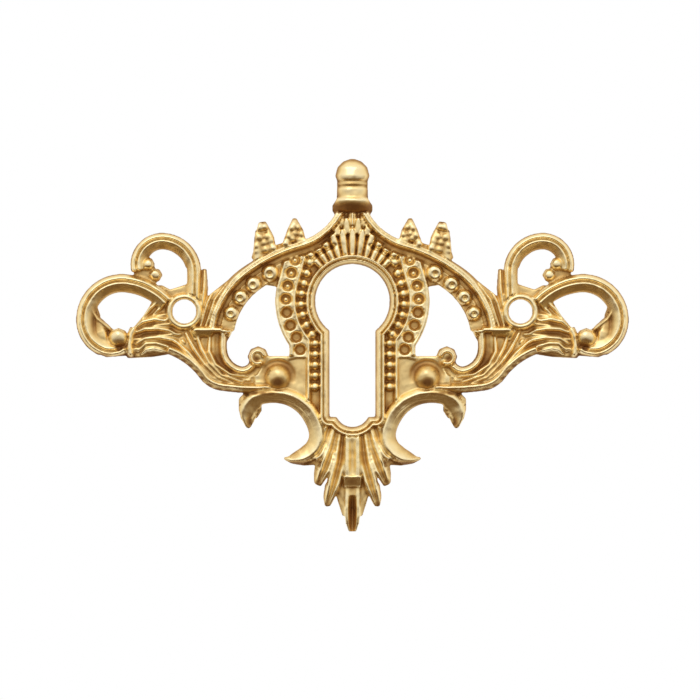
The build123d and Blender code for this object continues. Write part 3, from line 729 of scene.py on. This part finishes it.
# Back of the plate: flat, cast against the sand and rubbed down. Triangles are laid between all the edges of
# the outline, and those that are reached from the metal's side of an edge are kept.
WITHIN_EDGES = 1
SAME_PLACE = 1e-6
back_corners = list(back_of.values())
back_places = [Vector((vertices[vertex][0], vertices[vertex][2])) for vertex in back_corners]
back_number = {vertex: number for number, vertex in enumerate(back_corners)}
back_edges = [(back_number[one], back_number[other]) for one, other in foot_edges]
laid = delaunay_2d_cdt(back_places, back_edges, [], WITHIN_EDGES, SAME_PLACE)
laid_faces = laid[2]
laid_from = laid[3]
triangles = [[laid_from[corner][0] for corner in triangle] for triangle in laid_faces]
owner = {}
for number, triangle in enumerate(triangles):
    for edge in zip(triangle, triangle[1:] + triangle[:1]):
        owner[edge] = number
on_outline = set(back_edges)
metal = {owner[edge] for edge in back_edges}
fresh = list(metal)
while fresh:
    triangle = triangles[fresh.pop()]
    for one, other in zip(triangle, triangle[1:] + triangle[:1]):
        beyond = owner.get((other, one))
        if (one, other) not in on_outline and beyond not in metal:
            metal.add(beyond)
            fresh.append(beyond)
face_and_walls = len(faces)
for number in sorted(metal):
    faces.append([back_corners[corner] for corner in reversed(triangles[number])])
mesh = bpy.data.meshes.new("escutcheon_casting")
mesh.from_pydata([(x * MM, y * MM, z * MM) for x, y, z in vertices], [], faces)
mesh.polygons.foreach_set("use_smooth", np.arange(len(faces)) < face_and_walls)
# The hollow attribute carries the patina of the hollows and the painted shade together.
mesh.attributes.new("hollow", "FLOAT", "POINT").data.foreach_set("value", hollows)
casting = bpy.data.objects.new("escutcheon_casting", mesh)
bpy.context.collection.objects.link(casting)

# Brass of the plate: yellow metal, bright on the polished ridges, brown and dull with old polish in the hollows
# and brown with painted shade under the studs and the lower edges, a little mottled, with the fine grain of the
# sand. The plate is fixed through its two screw holes.
RIDGE_COLOUR = (0.97, 0.80, 0.46, 1)
FLAT_COLOUR = (0.93, 0.70, 0.32, 1)
# The hollow and deep colours serve both the patina of the hollows and the painted shade.
HOLLOW_PATINA_AND_SHADE_COLOUR = (0.60, 0.37, 0.13, 1)
DEEP_PATINA_AND_SHADE_COLOUR = (0.34, 0.17, 0.055, 1)
MOTTLE_SCALE = 420
MOTTLE_AMOUNT = 0.35
HOLLOW_RANGE = (-0.2, 0.95)
BRIGHT_ROUGHNESS = 0.22
DULL_ROUGHNESS = 0.6
GRAIN_SCALE = 2600
GRAIN_HEIGHT = 0.03 * MM
brass = bpy.data.materials.new("brass")
brass.use_nodes = True
nodes = brass.node_tree.nodes
links = brass.node_tree.links
shader = nodes["Principled BSDF"]
shader.inputs["Metallic"].default_value = 1.0
depth = nodes.new("ShaderNodeAttribute")
depth.attribute_name = "hollow"
object_place = nodes.new("ShaderNodeTexCoord")
mottle = nodes.new("ShaderNodeTexNoise")
mottle.inputs["Scale"].default_value = MOTTLE_SCALE
mottle.inputs["Detail"].default_value = 4
links.new(object_place.outputs["Object"], mottle.inputs["Vector"])
uneven = nodes.new("ShaderNodeMath")
uneven.operation = "MULTIPLY_ADD"
uneven.inputs[1].default_value = MOTTLE_AMOUNT
links.new(mottle.outputs["Fac"], uneven.inputs[0])
links.new(depth.outputs["Fac"], uneven.inputs[2])
darkness = nodes.new("ShaderNodeMapRange")
darkness.inputs["From Min"].default_value = HOLLOW_RANGE[0]
darkness.inputs["From Max"].default_value = HOLLOW_RANGE[1]
links.new(uneven.outputs["Value"], darkness.inputs["Value"])
tones = nodes.new("ShaderNodeValToRGB")
tones.color_ramp.elements[0].color = RIDGE_COLOUR
tones.color_ramp.elements[0].position = 0.15
tones.color_ramp.elements[1].color = DEEP_PATINA_AND_SHADE_COLOUR
tones.color_ramp.elements[1].position = 0.95
tones.color_ramp.elements.new(0.38).color = FLAT_COLOUR
tones.color_ramp.elements.new(0.66).color = HOLLOW_PATINA_AND_SHADE_COLOUR
links.new(darkness.outputs["Result"], tones.inputs["Fac"])
links.new(tones.outputs["Color"], shader.inputs["Base Color"])
dullness = nodes.new("ShaderNodeMapRange")
dullness.inputs["To Min"].default_value = BRIGHT_ROUGHNESS
dullness.inputs["To Max"].default_value = DULL_ROUGHNESS
links.new(darkness.outputs["Result"], dullness.inputs["Value"])
links.new(dullness.outputs["Result"], shader.inputs["Roughness"])
grain = nodes.new("ShaderNodeTexNoise")
grain.inputs["Scale"].default_value = GRAIN_SCALE
grain.inputs["Detail"].default_value = 3
links.new(object_place.outputs["Object"], grain.inputs["Vector"])
bump = nodes.new("ShaderNodeBump")
bump.inputs["Strength"].default_value = 0.25
bump.inputs["Distance"].default_value = GRAIN_HEIGHT
links.new(grain.outputs["Fac"], bump.inputs["Height"])
links.new(bump.outputs["Normal"], shader.inputs["Normal"])
casting.data.materials.append(brass)
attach(casting, "root")
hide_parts("escutcheon")

# The studio's floor: a pale matt painted board that lies loose, well below the plate and behind it. It takes
# the plate's soft shadow and keeps out of the picture from the front.
FLOOR_DROP = 0.1
FLOOR_HALF = 0.4
FLOOR_FRONT = 0.004
FLOOR_BACK = 0.5
BOARD_COLOUR = (0.8, 0.8, 0.8, 1)
floor_corners = [(-FLOOR_HALF, FLOOR_FRONT, 0), (FLOOR_HALF, FLOOR_FRONT, 0), (FLOOR_HALF, FLOOR_BACK, 0),
                 (-FLOOR_HALF, FLOOR_BACK, 0)]
floor_mesh = bpy.data.meshes.new("floor")
floor_mesh.from_pydata(floor_corners, [], [(0, 1, 2, 3)])
floor = bpy.data.objects.new("floor", floor_mesh)
floor.location.z = -FLOOR_DROP
bpy.context.collection.objects.link(floor)
board = bpy.data.materials.new("board")
board.use_nodes = True
board_shader = board.node_tree.nodes["Principled BSDF"]
board_shader.inputs["Base Color"].default_value = BOARD_COLOUR
board_shader.inputs["Roughness"].default_value = 0.9
floor.data.materials.append(board)

# The studio's light: one large round soft lamp above the plate and in front of it, in a white room whose
# walls turn brown and dark towards the floor. The metal mirrors them; the camera sees plain white behind it.
LAMP_PLACE = (-0.2, -0.65, 0.75)
LAMP_SIZE = 1.0
LAMP_POWER = 2.2
ROOM_LOW = (0.16, 0.09, 0.03, 1)
ROOM_LEVEL = (0.85, 0.85, 0.85, 1)
WHITE = (1, 1, 1, 1)
lamp = bpy.data.lights.new("lamp", "AREA")
lamp.shape = "DISK"
lamp.size = LAMP_SIZE
lamp.energy = LAMP_POWER
lamp_holder = bpy.data.objects.new("lamp", lamp)
lamp_holder.location = LAMP_PLACE
lamp_holder.rotation_euler = (-lamp_holder.location).to_track_quat("-Z", "Y").to_euler()
bpy.context.collection.objects.link(lamp_holder)
world = bpy.data.worlds.new("studio")
bpy.context.scene.world = world
world.use_nodes = True
nodes = world.node_tree.nodes
links = world.node_tree.links
direction = nodes.new("ShaderNodeTexCoord")
parts = nodes.new("ShaderNodeSeparateXYZ")
links.new(direction.outputs["Generated"], parts.inputs["Vector"])
grade = nodes.new("ShaderNodeMapRange")
grade.inputs["From Min"].default_value = -1
grade.inputs["From Max"].default_value = 1
links.new(parts.outputs["Z"], grade.inputs["Value"])
room = nodes.new("ShaderNodeValToRGB")
room.color_ramp.elements[0].color = ROOM_LOW
room.color_ramp.elements[0].position = 0.2
room.color_ramp.elements[1].color = WHITE
room.color_ramp.elements[1].position = 0.68
room.color_ramp.elements.new(0.5).color = ROOM_LEVEL
links.new(grade.outputs["Result"], room.inputs["Fac"])
behind = nodes.new("ShaderNodeMath")
behind.operation = "GREATER_THAN"
behind.inputs[1].default_value = 0
links.new(parts.outputs["Y"], behind.inputs[0])
ray = nodes.new("ShaderNodeLightPath")
mirrored = nodes.new("ShaderNodeMath")
mirrored.operation = "MAXIMUM"
links.new(ray.outputs["Is Glossy Ray"], mirrored.inputs[0])
links.new(ray.outputs["Is Transmission Ray"], mirrored.inputs[1])
mirrored_behind = nodes.new("ShaderNodeMath")
mirrored_behind.operation = "MULTIPLY"
links.new(mirrored.outputs["Value"], mirrored_behind.inputs[0])
links.new(behind.outputs["Value"], mirrored_behind.inputs[1])
seen_white = nodes.new("ShaderNodeMath")
seen_white.operation = "MAXIMUM"
links.new(ray.outputs["Is Camera Ray"], seen_white.inputs[0])
links.new(mirrored_behind.outputs["Value"], seen_white.inputs[1])
choice = nodes.new("ShaderNodeMix")
choice.data_type = "RGBA"
choice.inputs["B"].default_value = WHITE
links.new(seen_white.outputs["Value"], choice.inputs["Factor"])
links.new(room.outputs["Color"], choice.inputs["A"])
links.new(choice.outputs["Result"], nodes["Background"].inputs["Color"])

# The camera stands far off, level with the plate, and looks straight at its face, as the photograph was
# taken. From its place the plate lies in the picture as it does in the photograph.
VIEW_WIDTH = 0.0959
DISTANCE = 0.9
CAMERA_X = -0.00033
CAMERA_Z = -0.00527
camera = bpy.data.cameras.new("camera")
camera.sensor_width = 36
camera.lens = camera.sensor_width * DISTANCE / VIEW_WIDTH
camera_holder = bpy.data.objects.new("camera", camera)
camera_holder.location = (CAMERA_X, -DISTANCE, CAMERA_Z)
camera_holder.rotation_euler = (math.radians(90), 0, 0)
bpy.context.collection.objects.link(camera_holder)
bpy.context.scene.camera = camera_holder
bpy.context.scene.view_settings.view_transform = "Standard"
